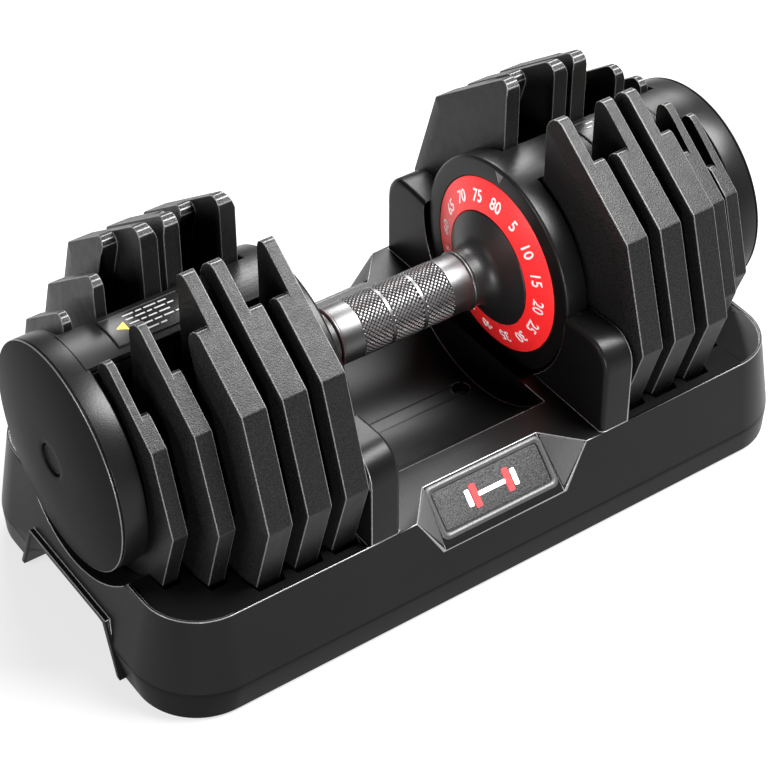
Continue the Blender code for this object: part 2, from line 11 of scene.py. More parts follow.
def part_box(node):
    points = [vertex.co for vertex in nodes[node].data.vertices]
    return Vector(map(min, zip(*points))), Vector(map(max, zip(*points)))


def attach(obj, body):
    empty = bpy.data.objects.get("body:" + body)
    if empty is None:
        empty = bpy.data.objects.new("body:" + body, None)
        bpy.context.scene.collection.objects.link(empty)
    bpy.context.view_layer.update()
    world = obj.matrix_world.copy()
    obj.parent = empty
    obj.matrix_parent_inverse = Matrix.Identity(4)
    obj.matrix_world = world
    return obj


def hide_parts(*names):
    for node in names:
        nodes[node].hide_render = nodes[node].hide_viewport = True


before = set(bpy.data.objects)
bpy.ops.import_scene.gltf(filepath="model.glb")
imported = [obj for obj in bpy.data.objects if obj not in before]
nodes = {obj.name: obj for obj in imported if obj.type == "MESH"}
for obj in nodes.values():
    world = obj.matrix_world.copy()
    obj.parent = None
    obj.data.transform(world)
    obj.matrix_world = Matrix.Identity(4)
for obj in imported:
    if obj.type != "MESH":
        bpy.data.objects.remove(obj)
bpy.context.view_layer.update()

MM = 0.001
SIDES = (("left", -1), ("right", 1))
ENDS = (("front", -1), ("rear", 1))
ROUND = 128

# Places read from the frame.
axle_low, axle_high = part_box("axle")
AXIS_Z = (axle_low.z + axle_high.z) / 2
AXLE_R = (axle_high.z - axle_low.z) / 2
ring_low, ring_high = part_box("dial_ring_right")
RING_R = (ring_high.y - ring_low.y) / 2
RING_X = (ring_low.x, ring_high.x)
collar_low, collar_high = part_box("collar_right")
HUB_R = (collar_high.y - collar_low.y) / 2
COLLAR_X = (collar_low.x, collar_high.x)
GRIP_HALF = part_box("grip")[1].x
housing_low, housing_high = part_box("housing_right")
FLANGE_R = (housing_high.y - housing_low.y) / 2
HOUSING_X = (housing_low.x, housing_high.x)
cap_low, cap_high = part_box("end_cap_right")
CAP_R = (cap_high.y - cap_low.y) / 2
CAP_X = (cap_low.x, cap_high.x)


# ---------------------------------------------------------------- materials


class Nodes:
    """Short calls for building one material's node tree."""

    def __init__(self, name):
        self.material = bpy.data.materials.new(name)
        self.material.use_nodes = True
        self.tree = self.material.node_tree
        self.shader = self.tree.nodes["Principled BSDF"]
        self.place = self.add("ShaderNodeTexCoord").outputs["Object"]

    def add(self, kind, **settings):
        node = self.tree.nodes.new(kind)
        for key, value in settings.items():
            setattr(node, key, value)
        return node

    def link(self, a, b):
        self.tree.links.new(a, b)

    def noise(self, scale, detail=2.0, rough=0.5, stretch=None):
        node = self.add("ShaderNodeTexNoise")
        node.inputs["Scale"].default_value = scale
        node.inputs["Detail"].default_value = detail
        node.inputs["Roughness"].default_value = rough
        place = self.place
        if stretch:
            mapping = self.add("ShaderNodeMapping")
            mapping.inputs["Scale"].default_value = stretch
            self.link(place, mapping.inputs["Vector"])
            place = mapping.outputs["Vector"]
        self.link(place, node.inputs["Vector"])
        return node.outputs["Fac"]

    def ramp(self, value, stops):
        node = self.add("ShaderNodeValToRGB")
        band = node.color_ramp
        for i, (at, color) in enumerate(stops):
            element = band.elements[i] if i < 2 else band.elements.new(at)
            element.position = at
            element.color = (*color, 1.0)
        self.link(value, node.inputs["Fac"])
        return node.outputs["Color"]

    def span(self, value, low, high, start=0.3, end=0.7):
        node = self.add("ShaderNodeMapRange")
        node.inputs["From Min"].default_value = start
        node.inputs["From Max"].default_value = end
        node.inputs["To Min"].default_value = low
        node.inputs["To Max"].default_value = high
        self.link(value, node.inputs["Value"])
        return node.outputs["Result"]

    def bump(self, value, distance, strength=1.0):
        node = self.add("ShaderNodeBump")
        node.inputs["Strength"].default_value = strength
        node.inputs["Distance"].default_value = distance
        self.link(value, node.inputs["Height"])
        self.link(node.outputs["Normal"], self.shader.inputs["Normal"])

    def set(self, **values):
        for name, value in values.items():
            self.shader.inputs[name.replace("_", " ")].default_value = value


def grey(level):
    return (level, level, level)


def plastic(name, dark, light, rough, grain, depth, shine=0.5, ior=1.45):
    """Moulded plastic: fine spark-eroded grain, slightly uneven gloss and tone."""
    made = Nodes(name)
    cloud = made.noise(18.0, 3.0)
    fine = made.noise(grain, 2.0, 0.6)
    made.link(made.ramp(cloud, ((0.3, dark), (0.7, light))), made.shader.inputs["Base Color"])
    made.link(made.span(fine, rough[0], rough[1]), made.shader.inputs["Roughness"])
    made.bump(fine, depth)
    made.set(Specular_IOR_Level=shine, IOR=ior)
    return made.material


def powder_coat(name, dark, light, rough, shine, depth):
    """Hammered powder coat: small pebbles in the coat, a little lighter where they stand up."""
    made = Nodes(name)
    pebble = made.noise(1250.0, 2.0, 0.55)
    broad = made.noise(160.0, 2.0)
    color = made.ramp(pebble, ((0.40, dark), (0.62, light)))
    made.link(color, made.shader.inputs["Base Color"])
    made.link(made.span(broad, rough[0], rough[1]), made.shader.inputs["Roughness"])
    made.bump(pebble, depth)
    made.set(Specular_IOR_Level=shine)
    return made.material


def chrome(name, level, rough):
    """Satin chrome with a faint smear along the bar."""
    made = Nodes(name)
    made.set(Metallic=1.0, Base_Color=(level, level, level * 1.01, 1.0))
    smear = made.noise(60.0, 4.0, 0.6, (1.0, 6.0, 6.0))
    made.link(made.span(smear, rough[0], rough[1]), made.shader.inputs["Roughness"])
    made.bump(made.noise(400.0, 2.0), 0.00002)
    return made.material


def steel(name, level, rough):
    """Plain or blackened steel with turning streaks."""
    made = Nodes(name)
    made.set(Metallic=1.0)
    streak = made.noise(250.0, 3.0, 0.6, (8.0, 1.0, 1.0))
    color = made.ramp(streak, ((0.3, grey(level * 0.8)), (0.7, grey(level))))
    made.link(color, made.shader.inputs["Base Color"])
    made.link(made.span(streak, rough, rough + 0.15), made.shader.inputs["Roughness"])
    return made.material


def enamel(name, low, high, rough):
    """Even paint or ink with a slightly uneven tone."""
    made = Nodes(name)
    cloud = made.noise(40.0, 2.0)
    made.link(made.ramp(cloud, ((0.3, low), (0.7, high))), made.shader.inputs["Base Color"])
    made.link(made.span(made.noise(600.0), rough, rough + 0.1), made.shader.inputs["Roughness"])
    return made.material


tray_black = plastic("tray_black", grey(0.0034), grey(0.0044), (0.30, 0.38), 1100.0, 0.00003, 0.13)
# Painted highlight: a lighter copy of the tray plastic for the bevels on the tray's edges.
tray_painted_highlight = plastic("tray_painted_highlight", grey(0.10), grey(0.13), (0.24, 0.3), 1100.0, 0.00002, 0.8)
# Painted shade: a less reflective copy of the tray plastic for the wall below the crease.
tray_foot_painted_shade = plastic("tray_foot_painted_shade", grey(0.0035), grey(0.0045), (0.30, 0.40), 1100.0, 0.00004, 0.5, 1.12)
cheek_grey = plastic("cheek_grey", grey(0.028), grey(0.045), (0.5, 0.7), 1300.0, 0.0002, 0.5)
frame_grey = plastic("frame_grey", grey(0.024), grey(0.036), (0.38, 0.5), 1300.0, 0.0001, 0.6)
panel_black = powder_coat("panel_black", grey(0.010), grey(0.050), (0.6, 0.7), 0.25, 0.0001)
head_black = plastic("head_black", grey(0.0040), grey(0.0055), (0.28, 0.36), 1300.0, 0.00005, 0.18)
# Painted highlight: a lighter copy of the head plastic for the crisp edge of the end caps.
head_painted_highlight = plastic("head_painted_highlight", grey(0.06), grey(0.08), (0.2, 0.3), 1300.0, 0.00003, 0.8)
cap_black = plastic("cap_black", grey(0.0036), grey(0.0048), (0.30, 0.38), 1300.0, 0.00004, 0.5, 1.07)
plug_black = plastic("plug_black", grey(0.002), grey(0.003), (0.5, 0.6), 1300.0, 0.00003, 0.1)
collar_black = plastic("collar_black", grey(0.008), grey(0.010), (0.36, 0.46), 1300.0, 0.00004, 0.35)
label_black = plastic("label_black", grey(0.005), grey(0.007), (0.30, 0.38), 600.0, 0.00001, 0.25)
nylon_grey = plastic("nylon_grey", grey(0.014), grey(0.02), (0.45, 0.55), 1200.0, 0.00005, 0.4)
rubber_black = plastic("rubber_black", grey(0.02), grey(0.03), (0.8, 0.9), 800.0, 0.0001, 0.3)
coat_black = powder_coat("coat_black", grey(0.003), grey(0.009), (0.35, 0.43), 0.15, 0.00022)
# Painted highlight: a lighter copy of the coat for the bevels on the plates' edges.
coat_painted_highlight = powder_coat("coat_painted_highlight", grey(0.05), grey(0.09), (0.32, 0.42), 0.5, 0.0001)
grip_chrome = chrome("grip_chrome", 0.10, (0.36, 0.46))
knurl_chrome = chrome("knurl_chrome", 0.18, (0.34, 0.44))
# Painted shade: near-black metal for the bottoms of the knurl grooves.
groove_painted_shade = chrome("groove_painted_shade", 0.010, (0.5, 0.6))
dark_steel = steel("dark_steel", 0.06, 0.45)
plain_steel = steel("plain_steel", 0.5, 0.28)
dial_red = enamel("dial_red", (0.94, 0.020, 0.022), (1.0, 0.028, 0.030), 0.38)
ink_white = enamel("ink_white", grey(0.82), grey(0.88), 0.4)
sign_yellow = enamel("sign_yellow", (0.75, 0.48, 0.01), (0.82, 0.54, 0.015), 0.4)
ink_grey = enamel("ink_grey", grey(0.20), grey(0.26), 0.6)
mark_grey = enamel("mark_grey", grey(0.08), grey(0.10), 0.4)


# ---------------------------------------------------------------- mesh helpers


def finish_mesh(mesh, smooth_angle=32.0):
    """Faces out, smooth shading, and sharp edges where the surface turns by more than the angle."""
    work = bmesh.new()
    work.from_mesh(mesh)
    bmesh.ops.recalc_face_normals(work, faces=work.faces)
    limit = math.radians(smooth_angle)
    for face in work.faces:
        face.smooth = True
    for edge in work.edges:
        edge.smooth = len(edge.link_faces) == 2 and edge.calc_face_angle(0.0) < limit
    work.to_mesh(mesh)
    work.free()


def piece(name, points, faces, looks, body, replaced=(), smooth_angle=32.0):
    """A visible piece on a body. looks is one material, or a list for material_index."""
    mesh = bpy.data.meshes.new(name)
    mesh.from_pydata([tuple(p) for p in points], [], faces)
    for look in looks if isinstance(looks, list) else [looks]:
        mesh.materials.append(look)
    finish_mesh(mesh, smooth_angle)
    obj = bpy.data.objects.new(name, mesh)
    bpy.context.scene.collection.objects.link(obj)
    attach(obj, body)
    if replaced:
        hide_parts(*replaced)
    return obj


def turned_shape(profile, side=1, count=ROUND):
    """Points and faces of a closed (x, r) profile turned round the handle axis."""
    points, rows, faces = [], [], []
    for x, r in profile:
        if r < 1e-9:
            rows.append([len(points)] * count)
            points.append((side * x, 0.0, AXIS_Z))
            continue
        rows.append(list(range(len(points), len(points) + count)))
        for i in range(count):
            a = 2 * math.pi * i / count
            points.append((side * x, r * math.cos(a), AXIS_Z + r * math.sin(a)))
    for k, row in enumerate(rows):
        after = rows[(k + 1) % len(rows)]
        if row[0] == row[1] and after[0] == after[1]:
            continue
        for i in range(count):
            j = (i + 1) % count
            corners = []
            for v in (row[i], row[j], after[j], after[i]):
                if v not in corners:
                    corners.append(v)
            faces.append(tuple(corners))
    return points, faces


def corner_arc(before, corner, after, radius, steps=4):
    """Points of the arc that rounds one corner of an outline."""
    a = (Vector(before) - Vector(corner)).normalized()
    b = (Vector(after) - Vector(corner)).normalized()
    half = a.angle(b) / 2
    centre = Vector(corner) + (a + b).normalized() * (radius / math.sin(half))
    start = Vector(corner) + a * (radius / math.tan(half)) - centre
    end = Vector(corner) + b * (radius / math.tan(half)) - centre
    turn = start.angle_signed(end)
    arc = []
    for i in range(steps + 1):
        t = -turn * i / steps
        arc.append((
            centre.x + start.x * math.cos(t) - start.y * math.sin(t),
            centre.y + start.x * math.sin(t) + start.y * math.cos(t),
        ))
    return arc


def softened(profile, radii, steps=4):
    """The profile with each corner rounded by its radius, where 0 leaves the corner."""
    made = []
    for i, corner in enumerate(profile):
        if radii[i] == 0:
            made.append(corner)
        else:
            after = profile[(i + 1) % len(profile)]
            made += corner_arc(profile[i - 1], corner, after, radii[i], steps)
    return made


def rounded_rectangle(half_a, half_b, radius, steps):
    """Points (a, b) round a rectangle with rounded corners, centred on the origin."""
    ring = []
    for quarter, (sa, sb) in enumerate(((1, 1), (-1, 1), (-1, -1), (1, -1))):
        for i in range(steps + 1):
            turn = math.pi / 2 * (quarter + i / steps)
            a = sa * (half_a - radius) + radius * math.cos(turn)
            b = sb * (half_b - radius) + radius * math.sin(turn)
            ring.append((a, b))
    return ring


def lofted(rings):
    """Points and faces of the closed solid through the rings, which have the same number of points."""
    count = len(rings[0])
    points = [p for ring in rings for p in ring]
    faces = []
    for r in range(len(rings) - 1):
        for i in range(count):
            j = (i + 1) % count
            faces.append((r * count + i, r * count + j, (r + 1) * count + j, (r + 1) * count + i))
    faces.append(tuple(range(count))[::-1])
    faces.append(tuple((len(rings) - 1) * count + i for i in range(count)))
    return points, faces


def bar_shape(outline, x0, x1):
    """A (y, z) outline, z from the handle axis, drawn out along X."""
    return lofted([[(x, y, AXIS_Z + z) for y, z in outline] for x in (x0, x1)])


def cutter(shape):
    points, faces = shape
    mesh = bpy.data.meshes.new("cutter")
    mesh.from_pydata([tuple(p) for p in points], [], faces)
    finish_mesh(mesh)
    obj = bpy.data.objects.new("cutter", mesh)
    bpy.context.scene.collection.objects.link(obj)
    return obj


def merge_into(target, steps):
    """Applies a Boolean for each (operation, shape) in order, and keeps the result."""
    others = []
    for operation, shape in steps:
        other = cutter(shape)
        change = target.modifiers.new("join", "BOOLEAN")
        change.operation = operation
        change.solver = "EXACT"
        change.object = other
        others.append(other)
    bpy.context.view_layer.update()
    graph = bpy.context.evaluated_depsgraph_get()
    made = bpy.data.meshes.new_from_object(target.evaluated_get(graph))
    target.modifiers.clear()
    target.data = made
    for other in others:
        bpy.data.objects.remove(other)
    finish_mesh(target.data)


def mark_clean_edges(mesh, angle, shortest, mark_of):
    """Marks the sharp edges that meet no very short edge. mark_of names the mark of an edge, or none."""
    bm = bmesh.new()
    bm.from_mesh(mesh)
    bmesh.ops.remove_doubles(bm, verts=bm.verts, dist=0.03 * MM)
    # A bevel next to a face with many corners could fold that face, so there are only triangles.
    bmesh.ops.triangulate(bm, faces=bm.faces, quad_method="BEAUTY", ngon_method="BEAUTY")
    marks = {name: bm.edges.layers.float.new(name) for name in ("light_edge", "dark_edge")}
    for edge in bm.edges:
        if len(edge.link_faces) != 2 or edge.calc_face_angle(0.0) < angle:
            continue
        near = [other.calc_length() for v in edge.verts for other in v.link_edges]
        mark = mark_of([v.co for v in edge.verts])
        if mark and min(near) > shortest:
            edge[marks[mark]] = 1.0
    bm.to_mesh(mesh)
    bm.free()


def soften_edges(obj, width, steps=3, angle=28.0, painted_highlight_index=0, mark=""):
    """Rounds the real edges of a piece, or only its marked ones, and evens out its shading. A material
    index given for the bevel faces paints a highlight on them.
    """
    bevel = obj.modifiers.new("bevel", "BEVEL")
    bevel.width = width
    bevel.segments = steps
    if mark:
        bevel.limit_method = "WEIGHT"
        bevel.edge_weight = mark
        bevel.use_clamp_overlap = False
    else:
        bevel.limit_method = "ANGLE"
        bevel.angle_limit = math.radians(angle)
    bevel.miter_outer = "MITER_ARC"
    # The bevel faces can take a lighter material, a painted highlight.
    if painted_highlight_index:
        bevel.material = painted_highlight_index
    even = obj.modifiers.new("even", "WEIGHTED_NORMAL")
    even.keep_sharp = False
    even.weight = 80


# ---------------------------------------------------------------- CAD nodes that stay


def dress(name, looks, width=0.0, steps=2, angle=28.0):
    """New materials on a CAD node, with its edges broken by a small bevel."""
    node = nodes[name]
    looks = looks if isinstance(looks, list) else [looks]
    node.data.materials.clear()
    for look in looks:
        node.data.materials.append(look)
    for polygon in node.data.polygons:
        polygon.material_index = 0
        polygon.use_smooth = True
    weld = node.modifiers.new("weld", "WELD")
    weld.merge_threshold = 0.02 * MM
    flat = node.modifiers.new("flat", "DECIMATE")
    flat.decimate_type = "DISSOLVE"
    flat.angle_limit = math.radians(0.8)
    if width:
        # Where there are two materials, the second is a painted highlight on the bevel faces.
        soften_edges(node, width, steps, angle, len(looks) - 1)


for side, _ in SIDES:
    for number in range(1, 6):
        # The plates' bevels take the second material, a painted highlight along their edges.
        dress(f"plate_{number}_{side}", [coat_black, coat_painted_highlight], 0.7 * MM, 2)
        dress(f"selector_{number}_{side}", nylon_grey)
    dress(f"end_nut_{side}", plain_steel, 0.4 * MM)
    dress(f"lock_pin_{side}", plain_steel, 0.3 * MM)
    dress(f"lock_spring_{side}", plain_steel)
    dress(f"tray_screw_{side}", dark_steel, 0.3 * MM)
    for end, _ in ENDS:
        dress(f"foot_pad_{side}_{end}", rubber_black, 0.4 * MM)
dress("axle", plain_steel)


# ---------------------------------------------------------------- tray

# Half length, half width, corner radius and height of each ring, from the foot to the rim.
TRAY_RINGS = (
    (219.2, 110.6, 37.7, 1.0), (220.1, 111.5, 38.6, 1.9), (221.7, 113.8, 43.9, 17.0),
    (221.95, 114.1, 44.8, 19.2), (221.8, 114.0, 44.8, 21.0), (212.9, 107.4, 35.7, 67.4),
    (212.5, 107.1, 35.3, 69.4),
)
LIP = 1.6
DECK_Z, CLEAR_Z = 68.4, 90.0
# Rim x, thickness, how far the faces stand proud, y of the well's end and floor of each well.
WELLS = (
    (108.1, 14.6, 3.0, 99.9, -95.3), (132.0, 14.9, 3.0, 99.9, -95.3), (156.3, 14.8, 3.0, 99.9, -95.3),
    (177.0, 10.25, 2.0, 84.6, -83.3), (196.9, 9.1, 1.5, 70.3, -75.3),
)
WELL_CHAMFER = 10.7
# Cylinders cut along the handle axis: from x, radius, to x.
TROUGH = (89.5, 77.0, 235.0)
SADDLE = (60.6, 68.3, 90.6)
SCOOP = (-60.5, 85.0, 60.5)
# Half length, half width and corner radius of the hollow underneath, and its floor and ceiling.
UNDERSIDE, UNDERSIDE_Z = (211.0, 105.5, 75.0), (-5.0, 22.9)
UNDER_SCOOP_X, UNDER_SCOOP_Y, UNDER_SCOOP_Z = 40.0, 66.0, (10.0, 33.0)
NOTCH_WALL = 3.3
SCREW_X, SCREW_R, SCREW_Z = 50.0, 5.8, (28.6, 60.0)
FOOT_X, FOOT_Y, FOOT_R, FOOT_Z = 200.5, 91.5, 9.3, (-1.0, 2.8)
# The badge slope as (y, z from the handle axis), at its top and its foot.
SLOPE_TOP, SLOPE_FOOT = Vector((86.0, -54.0)), Vector((107.5, -76.0))
PAINTED_SHADE_BELOW = 20.5
LIGHT_EDGES_ABOVE = 25.0
WELLS_X = (92.0, 200.0)
EDGE_WIDTH = 0.4 * MM


def millimetres(points):
    return [(x * MM, y * MM, z * MM) for x, y, z in points]


def plan_ring(half_x, half_y, radius, z):
    return millimetres([(x, y, z) for x, y in rounded_rectangle(half_x, half_y, radius, 20)])


def block_shape(sign):
    """Both blocks that hold the flange, with their vertical and top edges well rounded."""
    top = [(60.0, 4.6), (67.0, 5.0), (78.0, 5.9), (89.0, 6.7)]
    for i in range(1, 7):
        a = math.pi / 2 * (1 - i / 6)
        top.append((90.0 + 17.0 * math.cos(a), -11.0 + 17.7 * math.sin(a)))
    top.append((107.0, -60.0))
    rings = []
    for x, inset in ((70.2, 3.0), (70.5, 1.7), (71.4, 0.6), (73.0, 0.0), (89.2, 0.0), (90.0, 0.8)):
        half = []
        for y, z in top:
            half.append(((y - inset) * MM, (z - inset if z > -30 else z) * MM))
        outline = half + [(-y, z) for y, z in reversed(half)]
        rings.append([(sign * x * MM, y, AXIS_Z + z) for y, z in outline])
    return lofted(rings)


def deck_shape(sign):
    """Space over the deck of one half, inside the lip."""
    half_y, radius, x_out = 107.1 - LIP, 35.3 - LIP, 212.5 - LIP
    plan = [(90.4, -half_y)]
    for quarter, way in ((3, -1), (0, 1)):
        for i in range(21):
            a = math.pi / 2 * (quarter + i / 20)
            y = way * (half_y - radius) + radius * math.sin(a)
            plan.append((x_out - radius + radius * math.cos(a), y))
    plan.append((90.4, half_y))
    return lofted([millimetres([(sign * x, y, z) for x, y in plan]) for z in (DECK_Z, CLEAR_Z)])


def well_shapes(sign):
    """Five wells that the plates stand in."""
    shapes = []
    for rim_x, thick, proud, end, floor_z in WELLS:
        low, high = rim_x - thick - 0.7, rim_x + 0.7
        wide_low, wide_high = max(low - proud, 90.2), high + proud
        turn = end - WELL_CHAMFER
        plan = [(low, -end), (high, -end), (wide_high, -turn), (wide_high, turn)]
        plan += [(high, end), (low, end), (wide_low, turn), (wide_low, -turn)]
        heights = (AXIS_Z / MM + floor_z, CLEAR_Z)
        shapes.append(lofted([millimetres([(sign * x, y, z) for x, y in plan]) for z in heights]))
    return shapes


def hull_shape(corners):
    """Convex solid round the corners, which are in mm."""
    work = bmesh.new()
    for corner in millimetres(corners):
        work.verts.new(corner)
    bmesh.ops.convex_hull(work, input=work.verts)
    work.verts.index_update()
    shape = [v.co.copy() for v in work.verts], [tuple(v.index for v in f.verts) for f in work.faces]
    work.free()
    return shape


def frame_shape(sign, inset, low_z, near, far):
    """Block over the frame of the finger notch, carried on down to low_z."""
    top_y, top_z, top_x, foot_y, foot_x = 43.3 - inset, 35.7 - inset, 222.2, 56.8 - inset, 223.5
    share = (top_z - low_z) / (top_z - 1.02)
    low_y, low_x = top_y + (foot_y - top_y) * share, top_x + (foot_x - top_x) * share
    corners = []
    for y, z, x in ((top_y, top_z, top_x), (low_y, low_z, low_x)):
        for mirror in (-1, 1):
            corners += [(sign * (x + d), mirror * y, z) for d in (near, far)]
    return hull_shape(corners)


def recess_shape(way):
    """Wedge cut into the long wall for the badge, wider towards the outside."""
    corners = []
    height = AXIS_Z / MM
    for mirror in (-1, 1):
        for x, y, z in ((39.6, 81.4, -49.2), (42.4, 113.6, -82.8)):
            corners.append((mirror * x, way * y, height + z))
            corners.append((mirror * (x + 48.0), way * (y + 52.5), height + z + 3.0))
    return hull_shape(corners)


def seat_shape(way):
    """Hollow behind the badge frame, square to the slope."""
    down = (SLOPE_FOOT - SLOPE_TOP).normalized()
    out = Vector((-down.y, down.x))
    corners = []
    for x in (-39.8, 39.8):
        for s, n in ((0.7, -3.0), (30.1, -3.0), (0.7, 8.0), (30.1, 8.0)):
            at = SLOPE_TOP + down * s + out * n
            corners.append((x, way * at.x, AXIS_Z / MM + at.y))
    return hull_shape(corners)


def drum_shape(low, radius, high, sign=1):
    """Cylinder along the handle axis, in mm, from low to high."""
    profile = ((low, 0.0), (low, radius), (high, radius), (high, 0.0))
    return turned_shape([(x * MM, r * MM) for x, r in profile], sign)


def upright_shape(x, y, radius, low, high):
    """Upright cylinder, in mm, from low to high."""
    turn = [2 * math.pi * i / 40 for i in range(40)]
    ring = [(x + radius * math.cos(a), y + radius * math.sin(a)) for a in turn]
    return lofted([millimetres([(a, b, z) for a, b in ring]) for z in (low, high)])


def tray_steps():
    """What is cut from the plain tray and added to it, in order."""
    steps = []
    for sign in (-1, 1):
        steps.append(("DIFFERENCE", drum_shape(*TROUGH, sign)))
        steps.append(("UNION", block_shape(sign)))
        steps.append(("DIFFERENCE", drum_shape(*SADDLE, sign)))
    steps.append(("DIFFERENCE", drum_shape(*SCOOP)))
    for sign in (-1, 1):
        steps.append(("DIFFERENCE", deck_shape(sign)))
        steps += [("DIFFERENCE", shape) for shape in well_shapes(sign)]
    steps.append(("DIFFERENCE", lofted([plan_ring(*UNDERSIDE, z) for z in UNDERSIDE_Z])))
    corners = []
    for x in (-UNDER_SCOOP_X, UNDER_SCOOP_X):
        for y in (-UNDER_SCOOP_Y, UNDER_SCOOP_Y):
            corners += [(x, y, z) for z in UNDER_SCOOP_Z]
    steps.append(("DIFFERENCE", hull_shape(corners)))
    for sign in (-1, 1):
        steps.append(("UNION", frame_shape(sign, 0.0, 1.02, -8.0, 0.0)))
        steps.append(("DIFFERENCE", frame_shape(sign, NOTCH_WALL, -4.0, -24.0, 14.0)))
        steps.append(("DIFFERENCE", upright_shape(sign * SCREW_X, 0.0, SCREW_R, *SCREW_Z)))
        for way in (-1, 1):
            foot = upright_shape(sign * FOOT_X, way * FOOT_Y, FOOT_R, *FOOT_Z)
            steps.append(("DIFFERENCE", foot))
    for way in (-1, 1):
        steps.append(("DIFFERENCE", recess_shape(way)))
        steps.append(("DIFFERENCE", seat_shape(way)))
    return steps


def tray_mark(ends):
    """The edges of the plate wells stay plain black. The others above the foot get a painted highlight."""
    if min(at.z for at in ends) < LIGHT_EDGES_ABOVE * MM:
        return ""
    at = (ends[0] + ends[1]) / 2
    along = WELLS_X[0] * MM < abs(at.x) < WELLS_X[1] * MM
    return "dark_edge" if along and at.z < (DECK_Z + 0.4) * MM else "light_edge"


def tray():
    """Tray with every edge rounded: deck and lip, blocks, saddles, scoop, wells and finger notches."""
    points, faces = lofted([plan_ring(*ring) for ring in TRAY_RINGS])
    body = piece(
        "tray_body", points, faces, [tray_black, tray_painted_highlight], "tray", ["tray_shell"]
    )
    merge_into(body, tray_steps())
    # Below the crease the wall reflects less, a painted shade for the dim floor near its foot.
    body.data.materials.append(tray_foot_painted_shade)
    for polygon in body.data.polygons:
        low = polygon.center.z < PAINTED_SHADE_BELOW * MM
        polygon.material_index = 2 if low and abs(polygon.normal.z) < 0.9 else 0
    mark_clean_edges(body.data, math.radians(35.0), 0.9 * MM, tray_mark)
    # These bevels take the second material, a painted highlight along the tray's edges.
    soften_edges(body, EDGE_WIDTH, 2, painted_highlight_index=1, mark="light_edge")
    soften_edges(body, EDGE_WIDTH, 2, mark="dark_edge")


tray()


# ---------------------------------------------------------------- heads

FACE = HOUSING_X[0]
SPINE_HALF = 16.5 * MM
SPINE_X = (86.0 * MM, 204.0 * MM)
FLANGE_BACK = 88.1 * MM
OUTER_RING = (202.0 * MM, HOUSING_X[1])
# Hole that the lock pin drops through: x, radius and heights from the handle axis, in mm.
PIN_X, PIN_HOLE_R, PIN_HOLE_Z = 81.0, 3.4, (-72.0, -44.0)


def head_housing(side, sign):
    """Flange with a rounded edge, spine bar over the axle and outer ring, as one piece."""
    seat = RING_R + 0.35 * MM
    bore = AXLE_R + 0.5 * MM
    dial_floor = FACE + 3.4 * MM
    flange = softened(
        [
            (FACE, seat), (FACE, FLANGE_R), (FLANGE_BACK, FLANGE_R),
            (FLANGE_BACK, bore), (dial_floor, bore), (dial_floor, seat),
        ],
        [0.5 * MM, 2.2 * MM, 1.0 * MM, 0, 0, 0],
        5,
    )
    ring = softened(
        [
            (OUTER_RING[0], bore), (OUTER_RING[0], CAP_R), (OUTER_RING[1], CAP_R),
            (OUTER_RING[1], 15 * MM), (207 * MM, 15 * MM), (207 * MM, bore),
        ],
        [0, 1.0 * MM, 0.5 * MM, 0, 0, 0],
        4,
    )
    points, faces = turned_shape(flange, sign)
    housing = piece(
        f"head_housing_{side}", points, faces, head_black, "dumbbell",
        [f"housing_{side}"],
    )
    edge = math.asin(SPINE_HALF / FLANGE_R)
    top = []
    for i in range(17):
        a = edge * (1 - i / 8)
        top.append((FLANGE_R * math.sin(a), FLANGE_R * math.cos(a)))
    y, cut = SPINE_HALF, 1.8 * MM
    half = [
        (y, 54.0 * MM), (y, 60.6 * MM), (y - 0.4 * MM, 61.0 * MM), (y - cut, 61.0 * MM),
        (y - cut, 62.6 * MM), (y, 62.6 * MM),
    ]
    outline = half + top + [(-a, b) for a, b in reversed(half)]
    spine = bar_shape(outline, sign * SPINE_X[0], sign * SPINE_X[1])
    hole_z = [AXIS_Z / MM + z for z in PIN_HOLE_Z]
    pin_hole = upright_shape(sign * PIN_X, 0.0, PIN_HOLE_R, *hole_z)
    merge_into(housing, [
        ("UNION", spine), ("UNION", turned_shape(ring, sign)), ("DIFFERENCE", pin_hole),
    ])


def end_cap(side, sign):
    """Domed cap with a stepped rim and a shallow round well in the middle."""
    rim, mid = CAP_R, 9.8 * MM
    base, top = CAP_X
    profile = [(base, mid), (base, rim)]
    profile += corner_arc((base, rim), (base + 1.3 * MM, rim), (base + 2.0 * MM, 60 * MM), 0.5 * MM, 4)
    # The dome is one shallow arc from the rim to the well.
    steps = 18
    start_r, end_r = 64.5 * MM, 11.0 * MM
    start_x = base + 1.7 * MM
    for i in range(steps + 1):
        r = start_r + (end_r - start_r) * i / steps
        fall = max(0.0, (r - end_r) / (start_r - end_r))
        profile.append((start_x + (top - start_x) * (1 - fall**2.2), r))
    profile += [(top - 0.2 * MM, mid + 0.3 * MM), (top - 0.7 * MM, mid)]
    points, faces = turned_shape(profile, sign)
    cap = piece(
        f"head_cap_{side}", points, faces, [cap_black, head_painted_highlight], "dumbbell",
        [f"end_cap_{side}"],
    )
    # The faces at the crisp edge between drum and dome are painted lighter, a painted highlight.
    co = np.array([v.co for v in cap.data.vertices])
    radius = np.hypot(co[:, 1], co[:, 2] - AXIS_Z)
    for polygon in cap.data.polygons:
        corners = list(polygon.vertices)
        reach = abs(co[corners, 0]).mean()
        if radius[corners].mean() > CAP_R - 1.0 * MM and reach > base + 0.9 * MM:
            polygon.material_index = 1


def cap_plug(side, sign):
    """Round plug in the middle of the cap, with a chamfer and a shallow dish."""
    low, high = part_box("end_plug_right")
    r = (high.y - low.y) / 2
    face = high.x
    profile = [(low.x, 0.0), (low.x, r), (face - 0.8 * MM, r), (face, r - 0.8 * MM)]
    profile += [(face, r - 1.6 * MM), (face - 0.5 * MM, r - 2.4 * MM), (face - 0.5 * MM, 0.0)]
    points, faces = turned_shape(profile, sign, 64)
    piece(
        f"cap_plug_{side}", points, faces, plug_black, "dumbbell",
        [f"end_plug_{side}"],
    )


